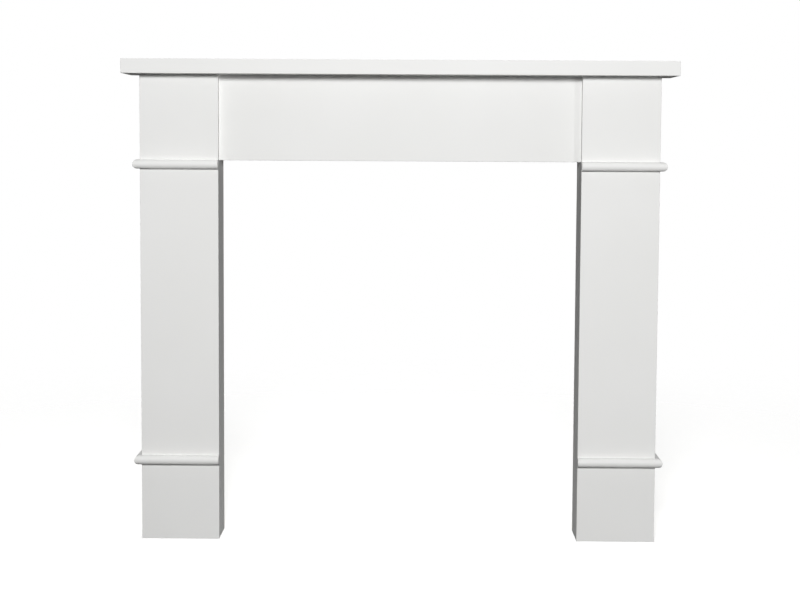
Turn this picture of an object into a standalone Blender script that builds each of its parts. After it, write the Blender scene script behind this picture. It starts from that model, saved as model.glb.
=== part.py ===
"""A plain fireplace mantel for a dolls' house, in thin sheet wood. Metres, +Z up, front at -Y."""

import math

import bmesh
import bpy

MM = 0.001

# Overall size
shelf_width = 114.3 * MM
overall_height = 100.4 * MM
shelf_thickness = 3.0 * MM
shelf_side_overhang = 3.3 * MM
shelf_front_overhang = 3.3 * MM

# Legs and frieze
leg_width = 16.25 * MM
leg_depth = 9.2 * MM
board = 1.6 * MM
frieze_height = 17.7 * MM
arris = 0.12 * MM  # sanded edge on every painted board

# Half-round beads
bead_height = 1.9 * MM
bead_projection = 1.4 * MM
bead_above_frieze_edge = 0.1 * MM  # the upper bead's top laps past the frieze's lower edge
lower_bead_height = 16.85 * MM  # centre of the bead above the floor
bead_steps = 14

# Hidden joinery
top_block_height = 12.0 * MM
rail_height = 8.0 * MM
foot_block_height = 8.0 * MM
foot_block_lift = 0.4 * MM  # the boards bear on the floor, not the block
dowel_diameter = 1.6 * MM
dowel_in_block = 6.0 * MM
dowel_in_shelf = 2.0 * MM
dowel_end_gap = 0.2 * MM
dowel_inset = 3.2 * MM  # from each end of the top block

# Clearances
glue_line = 0.05 * MM
dowel_clearance = 0.05 * MM
cutter_overrun = 1.0 * MM

# Worked out from the sizes above
overall_depth = shelf_front_overhang + leg_depth
front_y = shelf_front_overhang - overall_depth / 2  # plane of the leg faces
back_y = overall_depth / 2
side_front_y = front_y + board + glue_line
leg_top = overall_height - shelf_thickness - glue_line
outer_x = shelf_width / 2 - shelf_side_overhang
inner_x = outer_x - leg_width
block_outer_x = outer_x - board - glue_line
block_inner_x = inner_x + board + glue_line
block_bottom = leg_top - top_block_height
frieze_bottom = leg_top - frieze_height
upper_bead_height = frieze_bottom + bead_above_frieze_edge - bead_height / 2
frieze_back_y = side_front_y + board
top_block_front_y = frieze_back_y + glue_line
dowel_y = (top_block_front_y + back_y) / 2


def make_material(name, colour, roughness):
    material = bpy.data.materials.new(name)
    material.use_nodes = True
    shader = material.node_tree.nodes["Principled BSDF"]
    shader.inputs["Base Color"].default_value = (*colour, 1)
    shader.inputs["Roughness"].default_value = roughness
    shader.inputs["Metallic"].default_value = 0
    return material


def add_object(name, bm, material, location=(0, 0, 0)):
    """Turns the bmesh into a named object that hangs from the mantel's empty."""
    bmesh.ops.recalc_face_normals(bm, faces=bm.faces)
    mesh = bpy.data.meshes.new(name)
    bm.to_mesh(mesh)
    bm.free()
    obj = bpy.data.objects.new(name, mesh)
    obj.location = location
    obj.parent = mantel
    obj.data.materials.append(material)
    bpy.context.collection.objects.link(obj)
    return obj


def add_board(name, low, high, material, edge=0.0):
    """A rectangular board from its lowest corner to its highest, with its edges eased."""
    size = [b - a for a, b in zip(low, high)]
    bm = bmesh.new()
    bmesh.ops.create_cube(bm, size=1)
    bmesh.ops.scale(bm, vec=size, verts=bm.verts)
    centre = [(a + b) / 2 for a, b in zip(low, high)]
    obj = add_object(name, bm, material, centre)
    if edge:
        bevel = obj.modifiers.new("eased edges", "BEVEL")
        bevel.width = edge
        bevel.segments = 2
    return obj


def add_peg(name, x, y, low_z, high_z, radius, material):
    bm = bmesh.new()
    bmesh.ops.create_cone(
        bm, cap_ends=True, segments=24, radius1=radius, radius2=radius, depth=high_z - low_z
    )
    return add_object(name, bm, material, (x, y, (low_z + high_z) / 2))


def drill(obj, x, y, low_z, high_z, material):
    """Bores a dowel hole, with the cutter run past the face that it opens on."""
    radius = dowel_diameter / 2 + dowel_clearance
    cutter = add_peg(f"cutter_{obj.name}_{len(obj.modifiers)}", x, y, low_z, high_z, radius, material)
    cutter.hide_render = True
    cutter.display_type = "WIRE"
    hole = obj.modifiers.new("dowel hole", "BOOLEAN")
    hole.object = cutter
    hole.operation = "DIFFERENCE"
    hole.solver = "EXACT"


def bead_profile(centre_z):
    """(projection, height) points of the bead: a flat back, short flats, and a half-round nose."""
    radius = bead_height / 2
    nose = bead_projection - radius
    points = [(glue_line, centre_z - radius)]
    for step in range(bead_steps + 1):
        angle = math.pi * (step / bead_steps - 0.5)
        points.append((nose + radius * math.cos(angle), centre_z + radius * math.sin(angle)))
    points.append((glue_line, centre_z + radius))
    return points


def add_swept(name, start, end, material):
    """A closed strip between two matching rings of points."""
    bm = bmesh.new()
    rings = [[bm.verts.new(point) for point in ring] for ring in (start, end)]
    count = len(start)
    for i in range(count):
        j = (i + 1) % count
        bm.faces.new((rings[0][i], rings[0][j], rings[1][j], rings[1][i]))
    for ring in rings:
        bm.faces.new(ring)
    return add_object(name, bm, material)


def add_bead(label, side, centre_z, material):
    """The front bead and its return down the outer side, mitred together at the outer corner."""
    where = "left" if side < 0 else "right"
    profile = bead_profile(centre_z)
    mitre = [(side * (outer_x + p - glue_line), front_y - p, z) for p, z in profile]
    cut_end = [(side * inner_x, front_y - p, z) for p, z in profile]
    add_swept(f"{where}_{label}_bead_front", mitre, cut_end, material)
    mitre = [(side * (outer_x + p), front_y - p + glue_line, z) for p, z in profile]
    wall_end = [(side * (outer_x + p), back_y, z) for p, z in profile]
    add_swept(f"{where}_{label}_bead_return", mitre, wall_end, material)


def span(side, near, far):
    """Lowest and highest X of a piece that lies between two distances from the centre line."""
    return sorted((side * near, side * far))


def add_notched_side(name, low_x, high_x):
    """The leg's inner side, notched at the top front corner for the frieze behind the leg face."""
    notch_z = frieze_bottom - glue_line
    outline = [
        (side_front_y, 0),
        (back_y, 0),
        (back_y, leg_top),
        (top_block_front_y, leg_top),
        (top_block_front_y, notch_z),
        (side_front_y, notch_z),
    ]
    add_swept(name, [(low_x, y, z) for y, z in outline], [(high_x, y, z) for y, z in outline], paint)


def add_leg(side):
    where = "left" if side < 0 else "right"
    low, high = span(side, inner_x, outer_x)
    add_board(f"{where}_leg_face", (low, front_y, 0), (high, front_y + board, leg_top), paint, arris)
    low, high = span(side, outer_x - board, outer_x)
    add_board(f"{where}_leg_outer_side", (low, side_front_y, 0), (high, back_y, leg_top), paint, arris)
    low, high = span(side, inner_x, inner_x + board)
    add_notched_side(f"{where}_leg_inner_side", low, high)
    low, high = span(side, block_inner_x, block_outer_x)
    block = add_board(
        f"{where}_top_block", (low, top_block_front_y, block_bottom), (high, back_y, leg_top), bare_wood
    )
    add_board(
        f"{where}_foot_block",
        (low, side_front_y, foot_block_lift),
        (high, back_y, foot_block_lift + foot_block_height),
        bare_wood,
    )
    add_bead("upper", side, upper_bead_height, paint)
    add_bead("lower", side, lower_bead_height, paint)
    for name, x in (
        ("outer", side * (block_outer_x - dowel_inset)),
        ("inner", side * (block_inner_x + dowel_inset)),
    ):
        bottom = leg_top - dowel_in_block
        top = leg_top + glue_line + dowel_in_shelf
        add_peg(f"{where}_{name}_dowel", x, dowel_y, bottom, top, dowel_diameter / 2, dowel_wood)
        drill(block, x, dowel_y, bottom - dowel_end_gap, leg_top + cutter_overrun, bare_wood)
        drill(shelf, x, dowel_y, leg_top - cutter_overrun, top + dowel_end_gap, bare_wood)


for old in list(bpy.data.objects):
    bpy.data.objects.remove(old)

mantel = bpy.data.objects.new("mantel", None)
bpy.context.collection.objects.link(mantel)

paint = make_material("white_painted_wood", (0.83, 0.83, 0.82), 0.5)
bare_wood = make_material("bare_basswood", (0.62, 0.47, 0.3), 0.75)
dowel_wood = make_material("birch_dowel", (0.68, 0.52, 0.33), 0.65)

shelf = add_board(
    "mantel_shelf",
    (-shelf_width / 2, -overall_depth / 2, leg_top + glue_line),
    (shelf_width / 2, back_y, overall_height),
    paint,
    arris,
)
add_board(
    "frieze_board",
    (-block_outer_x, side_front_y, frieze_bottom),
    (block_outer_x, frieze_back_y, leg_top),
    paint,
    arris,
)
add_board(
    "back_rail",
    (-inner_x + glue_line, back_y - board, leg_top - rail_height),
    (inner_x - glue_line, back_y, leg_top),
    bare_wood,
    arris,
)
for side in (-1, 1):
    add_leg(side)
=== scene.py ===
import math

import bmesh
import bpy
from mathutils import Matrix, Vector


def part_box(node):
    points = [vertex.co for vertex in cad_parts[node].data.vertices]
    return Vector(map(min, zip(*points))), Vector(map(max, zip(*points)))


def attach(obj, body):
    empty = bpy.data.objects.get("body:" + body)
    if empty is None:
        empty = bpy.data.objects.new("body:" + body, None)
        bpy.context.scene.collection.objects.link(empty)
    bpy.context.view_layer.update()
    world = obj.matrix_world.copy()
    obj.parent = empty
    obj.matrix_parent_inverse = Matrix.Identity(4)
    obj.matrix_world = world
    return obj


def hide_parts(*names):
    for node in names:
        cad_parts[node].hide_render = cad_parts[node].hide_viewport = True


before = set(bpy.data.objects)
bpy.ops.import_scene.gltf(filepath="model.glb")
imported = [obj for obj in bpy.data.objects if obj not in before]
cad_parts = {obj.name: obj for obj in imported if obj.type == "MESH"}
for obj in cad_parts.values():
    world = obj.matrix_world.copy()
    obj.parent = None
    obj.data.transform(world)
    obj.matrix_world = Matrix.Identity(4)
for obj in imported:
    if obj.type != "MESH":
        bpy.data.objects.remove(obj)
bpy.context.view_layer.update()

mm = 0.001
sharpAngle = math.radians(35)   # a crease past this stays sharp, so eased edges shade round and joints don't
closeEnough = 1e-7              # corners nearer than this are one
sideNames = {"left": -1, "right": 1}


def corners(node):
    low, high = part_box(node)
    return Vector(low), Vector(high)


def hexColour(code):
    # sRGB hex to the linear values that a shader reads
    channels = [int(code[i:i + 2], 16) / 255 for i in (1, 3, 5)]
    linear = [c / 12.92 if c <= 0.04045 else ((c + 0.055) / 1.055) ** 2.4 for c in channels]
    return (*linear, 1)


def addNode(tree, kind, inputs=None, **settings):
    node = tree.nodes.new(kind)
    for key, value in settings.items():
        setattr(node, key, value)
    for key, value in (inputs or {}).items():
        if isinstance(value, bpy.types.NodeSocket):
            tree.links.new(value, node.inputs[key])
        else:
            node.inputs[key].default_value = value
    return node


# materials

paintLook = {
    "colour": "#E8E8E7",
    "shadeColour": "#E3E3E1",  # the faint drift between one spray pass and the next
    "roughness": 0.64,
    "roughnessDrift": 0.06,
    "peelSize": 0.45 * mm,     # orange peel left by the spray gun
    "peelDepth": 0.006 * mm,
    "grainWidth": 0.5 * mm,    # sheet wood's grain, just showing through the paint
    "grainDepth": 0.004 * mm,
    "driftSize": 22 * mm,
    "lapWidth": 0.35 * mm,     # how far the paint wraps round onto the bare back
    "lapWander": 1.5 * mm,     # length of the waves in its ragged edge
    "lapStart": -0.03 * mm,    # where the paint thins out, measured from the back
    "lapEnd": 0.02 * mm,
    "ior": 1.47,
}

woodLook = {
    "pale": "#E2CBA4",
    "dark": "#C9AB7E",
    "roughness": 0.72,
    "grainWidth": 0.45 * mm,
    "grainDepth": 0.012 * mm,
    "growthRing": 3.2 * mm,
    "poreShare": 0.45,         # how much of the colour follows the pores and not the rings
    "paleBelow": 0.34,         # the pattern's values that give the palest and the darkest wood
    "darkAbove": 0.66,
    "ior": 1.5,
}

dowelLook = {"pale": "#E0C493", "dark": "#BF9A66", "roughness": 0.62, "grainWidth": 0.25 * mm,
             "grainDepth": 0.008 * mm, "growthRing": 1.1 * mm, "poreShare": 0.45, "paleBelow": 0.34,
             "darkAbove": 0.66, "ior": 1.5}


def newMaterial(name):
    material = bpy.data.materials.new(name)
    material.use_nodes = True
    tree = material.node_tree
    tree.nodes.clear()
    return material, tree


def stretched(tree, size, axis, stretch=26):
    # object coordinates divided by a pattern's real size, drawn out along the grain
    scale = [1 / size] * 3
    scale["XYZ".index(axis)] /= stretch
    place = addNode(tree, "ShaderNodeTexCoord")
    return addNode(tree, "ShaderNodeMapping", {"Vector": place.outputs["Object"], "Scale": scale}).outputs[0]


def woodGrain(tree, look, axis):
    # fine pores inside broad growth rings, both running with the board
    pores = addNode(tree, "ShaderNodeTexNoise",
                    {"Vector": stretched(tree, look["grainWidth"], axis), "Scale": 1.0, "Detail": 5.0,
                     "Roughness": 0.62})
    rings = addNode(tree, "ShaderNodeTexNoise",
                    {"Vector": stretched(tree, look["growthRing"], axis, stretch=14), "Scale": 1.0,
                     "Detail": 2.0, "Distortion": 0.4})
    blend = addNode(tree, "ShaderNodeMix",
                    {0: look["poreShare"], 2: rings.outputs[0], 3: pores.outputs[0]}, data_type="FLOAT")
    spread = addNode(tree, "ShaderNodeMapRange",
                     {"Value": blend.outputs[0], "From Min": look["paleBelow"],
                      "From Max": look["darkAbove"]})
    colour = addNode(tree, "ShaderNodeMix",
                     {0: spread.outputs[0], 6: hexColour(look["pale"]), 7: hexColour(look["dark"])},
                     data_type="RGBA")
    return colour.outputs[2], pores.outputs[0]


def bareWood(name, look, axis):
    # Basswood or birch, planed and sanded: pale, dull, close straight grain
    material, tree = newMaterial(name)
    colour, pores = woodGrain(tree, look, axis)
    bump = addNode(tree, "ShaderNodeBump", {"Height": pores, "Distance": look["grainDepth"], "Strength": 0.8})
    shader = addNode(tree, "ShaderNodeBsdfPrincipled",
                     {"Base Color": colour, "Roughness": look["roughness"], "IOR": look["ior"],
                      "Normal": bump.outputs[0]})
    addNode(tree, "ShaderNodeOutputMaterial", {"Surface": shader.outputs[0]})
    return material


def sprayedPaint(name, look, axis, backY):
    # Matt white paint, sprayed on sanded sheet wood: smooth, slightly peeled, bare on the wall side
    material, tree = newMaterial(name)
    place = addNode(tree, "ShaderNodeTexCoord").outputs["Object"]
    peel = addNode(tree, "ShaderNodeTexNoise",
                   {"Vector": place, "Scale": 1 / look["peelSize"], "Detail": 2.0})
    drift = addNode(tree, "ShaderNodeTexNoise",
                    {"Vector": place, "Scale": 1 / look["driftSize"], "Detail": 3.0})
    grain = addNode(tree, "ShaderNodeTexNoise",
                    {"Vector": stretched(tree, look["grainWidth"], axis), "Scale": 1.0, "Detail": 3.0})
    colour = addNode(tree, "ShaderNodeMix",
                     {0: drift.outputs[0], 6: hexColour(look["colour"]), 7: hexColour(look["shadeColour"])},
                     data_type="RGBA")
    roughness = addNode(tree, "ShaderNodeMix",
                        {0: drift.outputs[0], 2: look["roughness"] - look["roughnessDrift"],
                         3: look["roughness"] + look["roughnessDrift"]}, data_type="FLOAT")
    # the paint's ragged edge, where the spray stops on the back
    edge = addNode(tree, "ShaderNodeTexNoise",
                   {"Vector": place, "Scale": 1 / look["lapWander"], "Detail": 3.0})
    wander = addNode(tree, "ShaderNodeMath", {0: edge.outputs[0], 1: look["lapWidth"]}, operation="MULTIPLY")
    axes = addNode(tree, "ShaderNodeSeparateXYZ", {"Vector": place})
    reach = addNode(tree, "ShaderNodeMath", {0: axes.outputs["Y"], 1: wander.outputs[0]}, operation="ADD")
    bare = addNode(tree, "ShaderNodeMapRange",
                   {"Value": reach.outputs[0], "From Min": backY + look["lapStart"],
                    "From Max": backY + look["lapEnd"]})
    woodColour, pores = woodGrain(tree, woodLook, axis)
    finalColour = addNode(tree, "ShaderNodeMix",
                          {0: bare.outputs[0], 6: colour.outputs[2], 7: woodColour}, data_type="RGBA")
    finalRoughness = addNode(tree, "ShaderNodeMix",
                             {0: bare.outputs[0], 2: roughness.outputs[0], 3: woodLook["roughness"]},
                             data_type="FLOAT")
    grainBump = addNode(tree, "ShaderNodeBump",
                        {"Height": grain.outputs[0], "Distance": look["grainDepth"], "Strength": 0.5})
    peelBump = addNode(tree, "ShaderNodeBump",
                       {"Height": peel.outputs[0], "Distance": look["peelDepth"], "Strength": 0.5,
                        "Normal": grainBump.outputs[0]})
    shader = addNode(tree, "ShaderNodeBsdfPrincipled",
                     {"Base Color": finalColour.outputs[2], "Roughness": finalRoughness.outputs[0],
                      "IOR": look["ior"], "Normal": peelBump.outputs[0]})
    addNode(tree, "ShaderNodeOutputMaterial", {"Surface": shader.outputs[0]})
    return material


wallY = corners("mantel_shelf")[1].y
paintAlong = {axis: sprayedPaint(f"sprayed matt paint, grain along {axis}", paintLook, axis, wallY)
              for axis in "XYZ"}
basswoodAlong = {axis: bareWood(f"sanded basswood, grain along {axis}", woodLook, axis) for axis in "XZ"}
birch = bareWood("turned birch dowel", dowelLook, "Z")
print("materials made")


# painted boards

boardLook = {"easedEdge": 0.09 * mm, "edgeSteps": 4, "edgeProfile": 0.5}   # 0.5 is a round edge
squareOn = 0.9                  # a face whose normal is this close to a side's direction lies on that side
sideOf = {"front": (0, -1, 0), "back": (0, 1, 0), "top": (0, 0, 1), "bottom": (0, 0, -1),
          "left": (-1, 0, 0), "right": (1, 0, 0)}


def finish(piece, node):
    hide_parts(node)
    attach(piece, "root")


def addPiece(node, bm, eased, paint):
    bmesh.ops.bevel(bm, geom=eased, offset=boardLook["easedEdge"], segments=boardLook["edgeSteps"],
                    profile=boardLook["edgeProfile"], affect="EDGES")
    mesh = bpy.data.meshes.new(f"painted_{node}")
    bm.to_mesh(mesh)
    bm.free()
    mesh.shade_smooth()
    mesh.set_sharp_from_angle(angle=sharpAngle)
    mesh.materials.append(paint)
    piece = bpy.data.objects.new(f"painted_{node}", mesh)
    bpy.context.scene.collection.objects.link(piece)
    flat = piece.modifiers.new("flat faces", "WEIGHTED_NORMAL")
    flat.weight = 100   # the big faces decide, so they shade flat right up to their eased edges
    flat.keep_sharp = True
    finish(piece, node)


def openEdges(bm, freeSides):
    # the arrises where two open sides meet: glued joints keep their sharp edges and close up
    bm.normal_update()
    free = [Vector(sideOf[side]) for side in freeSides]
    return [edge for edge in bm.edges
            if all(any(face.normal.dot(side) > squareOn for side in free) for face in edge.link_faces)]


def makeBoard(node, low, high, freeSides, paint):
    bm = bmesh.new()
    bmesh.ops.create_cube(bm, size=1)
    bmesh.ops.scale(bm, vec=high - low, verts=bm.verts)
    bmesh.ops.translate(bm, vec=(low + high) / 2, verts=bm.verts)
    addPiece(node, bm, openEdges(bm, freeSides), paint)


def makeNotchedSide(node, lowX, highX, outline, freeSides, paint):
    # a board cut to an outline in the YZ plane
    bm = bmesh.new()
    base = bm.faces.new([bm.verts.new((lowX, y, z)) for y, z in outline])
    pushed = bmesh.ops.extrude_face_region(bm, geom=[base])["geom"]
    farCorners = [item for item in pushed if isinstance(item, bmesh.types.BMVert)]
    bmesh.ops.translate(bm, vec=(highX - lowX, 0, 0), verts=farCorners)
    bmesh.ops.recalc_face_normals(bm, faces=bm.faces)
    addPiece(node, bm, openEdges(bm, freeSides), paint)


shelfLow, shelfHigh = corners("mantel_shelf")
underShelf = shelfLow.z
makeBoard("mantel_shelf", shelfLow, shelfHigh, sideOf, paintAlong["X"])

friezeLow, friezeHigh = corners("frieze_board")
faceBack = corners("left_leg_face")[1].y
makeBoard("frieze_board", Vector((friezeLow.x, faceBack, friezeLow.z)),
          Vector((friezeHigh.x, friezeHigh.y, underShelf)), ("front", "bottom", "back"), paintAlong["X"])

for where, side in sideNames.items():
    outward, inward = ("right", "left") if side > 0 else ("left", "right")
    faceLow, faceHigh = corners(f"{where}_leg_face")
    makeBoard(f"{where}_leg_face", faceLow, Vector((faceHigh.x, faceHigh.y, underShelf)),
              ("front", "left", "right", "bottom"), paintAlong["Z"])
    low, high = corners(f"{where}_leg_outer_side")
    makeBoard(f"{where}_leg_outer_side", Vector((low.x, faceBack, low.z)),
              Vector((high.x, high.y, underShelf)), (outward, "bottom", "back"), paintAlong["Z"])
    low, high = corners(f"{where}_leg_inner_side")
    outline = [(faceBack, low.z), (high.y, low.z), (high.y, underShelf), (friezeHigh.y, underShelf),
               (friezeHigh.y, friezeLow.z), (faceBack, friezeLow.z)]
    makeNotchedSide(f"{where}_leg_inner_side", low.x, high.x, outline, (inward, "bottom", "back"),
                    paintAlong["Z"])
print("boards made")


# half-round beads

beadLook = {"noseRadius": 0.49, "noseSteps": 14}   # nose radius as a share of the bead's height


def groupInput(tree, name, kind, default=None):
    socket = tree.interface.new_socket(name, in_out="INPUT", socket_type=kind)
    if default is not None:
        socket.default_value = default
    return socket.identifier


def beadTree():
    # a D-shaped moulding run up +Z, its nose towards +X, with its far end cut to a mitre if asked
    tree = bpy.data.node_groups.new("planted half-round bead", "GeometryNodeTree")
    names = {
        "Length": groupInput(tree, "Length", "NodeSocketFloat", 0.01),
        "Height": groupInput(tree, "Height", "NodeSocketFloat", 0.002),
        "Projection": groupInput(tree, "Projection", "NodeSocketFloat", 0.001),
        "Nose Radius": groupInput(tree, "Nose Radius", "NodeSocketFloat", 0.001),
        "Mitre": groupInput(tree, "Mitre", "NodeSocketFloat", 1.0),
        "Steps": groupInput(tree, "Steps", "NodeSocketInt", 12),
        "Paint": groupInput(tree, "Paint", "NodeSocketMaterial"),
    }
    tree.interface.new_socket("Geometry", in_out="OUTPUT", socket_type="NodeSocketGeometry")
    given = addNode(tree, "NodeGroupInput").outputs
    here = addNode(tree, "GeometryNodeInputPosition")
    axes = addNode(tree, "ShaderNodeSeparateXYZ", {0: here.outputs[0]})
    half = addNode(tree, "ShaderNodeMath", {0: given["Projection"], 1: 0.5}, operation="MULTIPLY")
    outline = addNode(tree, "GeometryNodeCurvePrimitiveQuadrilateral",
                      {"Width": given["Projection"], "Height": given["Height"]}, mode="RECTANGLE")
    isNose = addNode(tree, "ShaderNodeMath", {0: axes.outputs["X"], 1: 0.0}, operation="GREATER_THAN")
    noseOnly = addNode(tree, "ShaderNodeMath", {0: isNose.outputs[0], 1: given["Nose Radius"]},
                     operation="MULTIPLY")
    nose = addNode(tree, "GeometryNodeFilletCurve",
                   {"Curve": outline.outputs[0], "Radius": noseOnly.outputs[0]})
    nose.mode = "POLY"
    countSocket = next(socket for socket in nose.inputs if socket.name == "Count")
    tree.links.new(given["Steps"], countSocket)
    moved = addNode(tree, "ShaderNodeCombineXYZ", {"X": half.outputs[0]})
    profile = addNode(tree, "GeometryNodeSetPosition",
                      {"Geometry": nose.outputs[0], "Offset": moved.outputs[0]})
    farEnd = addNode(tree, "ShaderNodeCombineXYZ", {"Z": given["Length"]})
    path = addNode(tree, "GeometryNodeCurvePrimitiveLine", {"End": farEnd.outputs[0]})
    run = addNode(tree, "GeometryNodeCurveToMesh",
                  {"Curve": path.outputs[0], "Profile Curve": profile.outputs[0], "Fill Caps": True})
    middle = addNode(tree, "ShaderNodeMath", {0: given["Length"], 1: 0.5}, operation="MULTIPLY")
    isFar = addNode(tree, "ShaderNodeMath", {0: axes.outputs["Z"], 1: middle.outputs[0]},
                    operation="GREATER_THAN")
    slide = addNode(tree, "ShaderNodeMath", {0: axes.outputs["X"], 1: isFar.outputs[0]},
                    operation="MULTIPLY")
    mitred = addNode(tree, "ShaderNodeMath", {0: slide.outputs[0], 1: given["Mitre"]}, operation="MULTIPLY")
    lengthen = addNode(tree, "ShaderNodeCombineXYZ", {"Z": mitred.outputs[0]})
    cut = addNode(tree, "GeometryNodeSetPosition",
                  {"Geometry": run.outputs[0], "Offset": lengthen.outputs[0]})
    merged = addNode(tree, "GeometryNodeMergeByDistance",
                     {"Geometry": cut.outputs[0], "Distance": closeEnough})
    realised = addNode(tree, "GeometryNodeRealizeInstances", {"Geometry": merged.outputs[0]})
    coated = addNode(tree, "GeometryNodeSetMaterial",
                     {"Geometry": realised.outputs[0], "Material": given["Paint"]})
    addNode(tree, "NodeGroupOutput", {0: coated.outputs[0]})
    return tree, names


beadGroup, beadInputs = beadTree()


def makeBead(node, length, height, projection, start, along, outward, paint):
    # start: centre of the bead's back at its square end; along and outward: unit directions
    host = bpy.data.objects.new("bead being made", bpy.data.meshes.new("empty"))
    bpy.context.scene.collection.objects.link(host)
    maker = host.modifiers.new("bead", "NODES")
    maker.node_group = beadGroup
    values = {"Length": length, "Height": height, "Projection": projection,
              "Nose Radius": height * beadLook["noseRadius"], "Mitre": 1.0,
              "Steps": beadLook["noseSteps"], "Paint": paint}
    for name, value in values.items():
        maker[beadInputs[name]] = value
    graph = bpy.context.evaluated_depsgraph_get()
    mesh = bpy.data.meshes.new_from_object(host.evaluated_get(graph))
    bpy.data.objects.remove(host)
    mesh.name = f"planted_{node}"
    up = Vector((0, 0, 1))
    turn = Matrix((outward, up, along)).transposed().to_4x4()
    mesh.transform(Matrix.Translation(start) @ turn)
    bm = bmesh.new()
    bm.from_mesh(mesh)
    bmesh.ops.remove_doubles(bm, verts=bm.verts, dist=closeEnough)
    bmesh.ops.recalc_face_normals(bm, faces=bm.faces)
    bm.to_mesh(mesh)
    bm.free()
    mesh.shade_smooth()
    mesh.set_sharp_from_angle(angle=sharpAngle)
    piece = bpy.data.objects.new(f"planted_{node}", mesh)
    bpy.context.scene.collection.objects.link(piece)
    flat = piece.modifiers.new("flat faces", "WEIGHTED_NORMAL")
    flat.keep_sharp = True
    finish(piece, node)


for where, side in sideNames.items():
    faceLow, faceHigh = corners(f"{where}_leg_face")
    outerX = faceHigh.x if side > 0 else faceLow.x
    innerX = faceLow.x if side > 0 else faceHigh.x
    frontY = faceLow.y
    for level in ("upper", "lower"):
        low, high = corners(f"{where}_{level}_bead_front")
        height = high.z - low.z
        centreZ = (low.z + high.z) / 2
        projection = frontY - low.y
        makeBead(f"{where}_{level}_bead_front", abs(outerX - innerX), height, projection,
                 Vector((innerX, frontY, centreZ)), Vector((side, 0, 0)), Vector((0, -1, 0)),
                 paintAlong["X"])
        low, high = corners(f"{where}_{level}_bead_return")
        makeBead(f"{where}_{level}_bead_return", high.y - frontY, height, projection,
                 Vector((outerX, high.y, centreZ)), Vector((0, -1, 0)), Vector((side, 0, 0)),
                 paintAlong["Y"])
print("beads made")


# hidden wood

for node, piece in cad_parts.items():
    if node.endswith(("_block", "_dowel", "back_rail")):
        grain = "X" if node == "back_rail" else "Z"
        piece.data.materials.clear()
        piece.data.materials.append(birch if node.endswith("_dowel") else basswoodAlong[grain])
print("bare wood finished")


# floor

floorLook = {"colour": "#F2F2F0", "radius": 300 * mm, "fadeFrom": 20 * mm, "segments": 96,
             "glow": 0.45, "roughness": 0.9, "rimShare": 0.95}


def makeFloor(look):
    # a round sheet of matte paper whose rim fades away into the white room
    bm = bmesh.new()
    bmesh.ops.create_circle(bm, cap_ends=True, segments=look["segments"], radius=look["radius"])
    mesh = bpy.data.meshes.new("paper_floor")
    bm.to_mesh(mesh)
    bm.free()
    material, tree = newMaterial("matte white paper")
    place = addNode(tree, "ShaderNodeTexCoord").outputs["Object"]
    away = addNode(tree, "ShaderNodeVectorMath", {0: place}, operation="LENGTH")
    fade = addNode(tree, "ShaderNodeMapRange",
                   {"Value": away.outputs["Value"], "From Min": look["fadeFrom"],
                    "From Max": look["radius"] * look["rimShare"]}, interpolation_type="SMOOTHSTEP")
    paper = addNode(tree, "ShaderNodeBsdfPrincipled",
                    {"Base Color": hexColour(look["colour"]), "Roughness": look["roughness"],
                     "Emission Color": (1, 1, 1, 1), "Emission Strength": look["glow"]})
    clear = addNode(tree, "ShaderNodeBsdfTransparent")
    blend = addNode(tree, "ShaderNodeMixShader",
                    {0: fade.outputs[0], 1: paper.outputs[0], 2: clear.outputs[0]})
    addNode(tree, "ShaderNodeOutputMaterial", {"Surface": blend.outputs[0]})
    mesh.materials.append(material)
    paperFloor = bpy.data.objects.new("paper_floor", mesh)
    paperFloor.visible_diffuse = False   # keeps its glow off the undersides, as a far studio floor would
    bpy.context.scene.collection.objects.link(paperFloor)


makeFloor(floorLook)
print("floor laid")


# light

# places and sizes in mm: the key stands in front, a little above the shelf, the side fill draws the soft
# strip on the frieze beside the right leg, and the last two are mainly for the back and the left side
lightLook = {
    "key": {"place": (-10, -330, 168), "aim": (0, 0, 52), "size": 66, "watts": 1.02},
    "overhead": {"place": (0, 10, 420), "aim": (0, 0, 0), "size": 260, "watts": 0.3},
    "sideFill": {"place": (300, -290, 120), "aim": (0, 0, 60), "size": 60, "watts": 0.29},
    "backFill": {"place": (0, 900, 380), "aim": (0, 0, 50), "size": 120, "watts": 3.6},
    "leftRim": {"place": (-450, 2, 170), "aim": (0, 0, 50), "size": 24, "watts": 0.25},
}


def makeLight(name, look):
    lamp = bpy.data.lights.new(name, "AREA")
    lamp.shape = "DISK"
    lamp.size = look["size"] * mm
    lamp.energy = look["watts"]
    place = Vector(look["place"]) * mm
    lampObject = bpy.data.objects.new(name, lamp)
    lampObject.location = place
    lampObject.rotation_euler = (Vector(look["aim"]) * mm - place).to_track_quat("-Z", "Y").to_euler()
    bpy.context.scene.collection.objects.link(lampObject)


for name, look in lightLook.items():
    makeLight(name, look)

# the white room as seen, and the little light that it gives from above and from below its horizon
roomLook = {"seen": 1.0, "fill": 0.05, "below": 0.01, "horizonLow": -0.25, "horizonHigh": 0.1}

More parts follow.
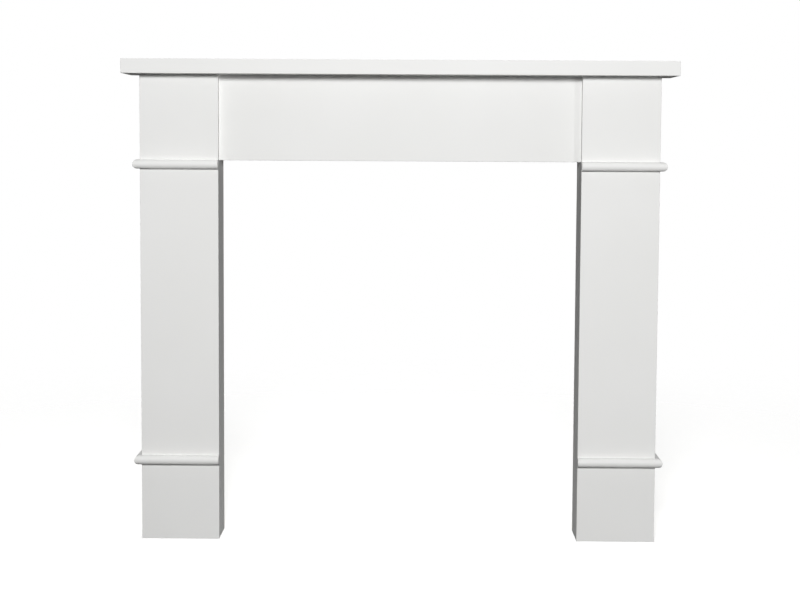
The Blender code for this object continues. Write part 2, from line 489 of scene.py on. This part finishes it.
world = bpy.data.worlds.new("white room")
bpy.context.scene.world = world
world.use_nodes = True
room = world.node_tree
room.nodes.clear()
ray = addNode(room, "ShaderNodeLightPath")
direction = addNode(room, "ShaderNodeTexCoord")
skyAxes = addNode(room, "ShaderNodeSeparateXYZ", {"Vector": direction.outputs["Generated"]})
rise = addNode(room, "ShaderNodeMapRange",
               {"Value": skyAxes.outputs["Z"], "From Min": roomLook["horizonLow"],
                "From Max": roomLook["horizonHigh"],
                "To Min": roomLook["below"], "To Max": roomLook["fill"]})
glow = addNode(room, "ShaderNodeMix",
               {0: ray.outputs["Is Camera Ray"], 2: rise.outputs[0], 3: roomLook["seen"]}, data_type="FLOAT")
sky = addNode(room, "ShaderNodeBackground", {"Color": (1, 1, 1, 1), "Strength": glow.outputs[0]})
addNode(room, "ShaderNodeOutputWorld", {"Surface": sky.outputs[0]})
bpy.context.scene.view_settings.view_transform = "Standard"
print("lights set")


# camera

cameraLook = {"offCentre": 2.5 * mm, "height": 84.0 * mm, "distance": 327.0 * mm, "downTilt": 4.34,
              "turn": -0.41, "roll": 0.32, "lens": 71.0, "shift": -0.05, "sensor": 36, "nearest": 10 * mm}


def makeCamera(look):
    down, turn, roll = (math.radians(look[key]) for key in ("downTilt", "turn", "roll"))
    ahead = Vector((math.sin(turn) * math.cos(down), math.cos(turn) * math.cos(down), -math.sin(down)))
    level = Vector((math.cos(turn), -math.sin(turn), 0))
    upright = level.cross(ahead)
    right = level * math.cos(roll) + upright * math.sin(roll)
    up = upright * math.cos(roll) - level * math.sin(roll)
    data = bpy.data.cameras.new("view")
    data.lens = look["lens"]
    data.sensor_width = look["sensor"]
    data.shift_y = look["shift"]
    data.clip_start = look["nearest"]
    camera = bpy.data.objects.new("view", data)
    frontY = corners("left_leg_face")[0].y
    turned = Matrix((right, up, -ahead)).transposed().to_4x4()
    place = Vector((look["offCentre"], frontY - look["distance"], look["height"]))
    camera.matrix_world = Matrix.Translation(place) @ turned
    bpy.context.scene.collection.objects.link(camera)
    bpy.context.scene.camera = camera


makeCamera(cameraLook)
print("camera set")
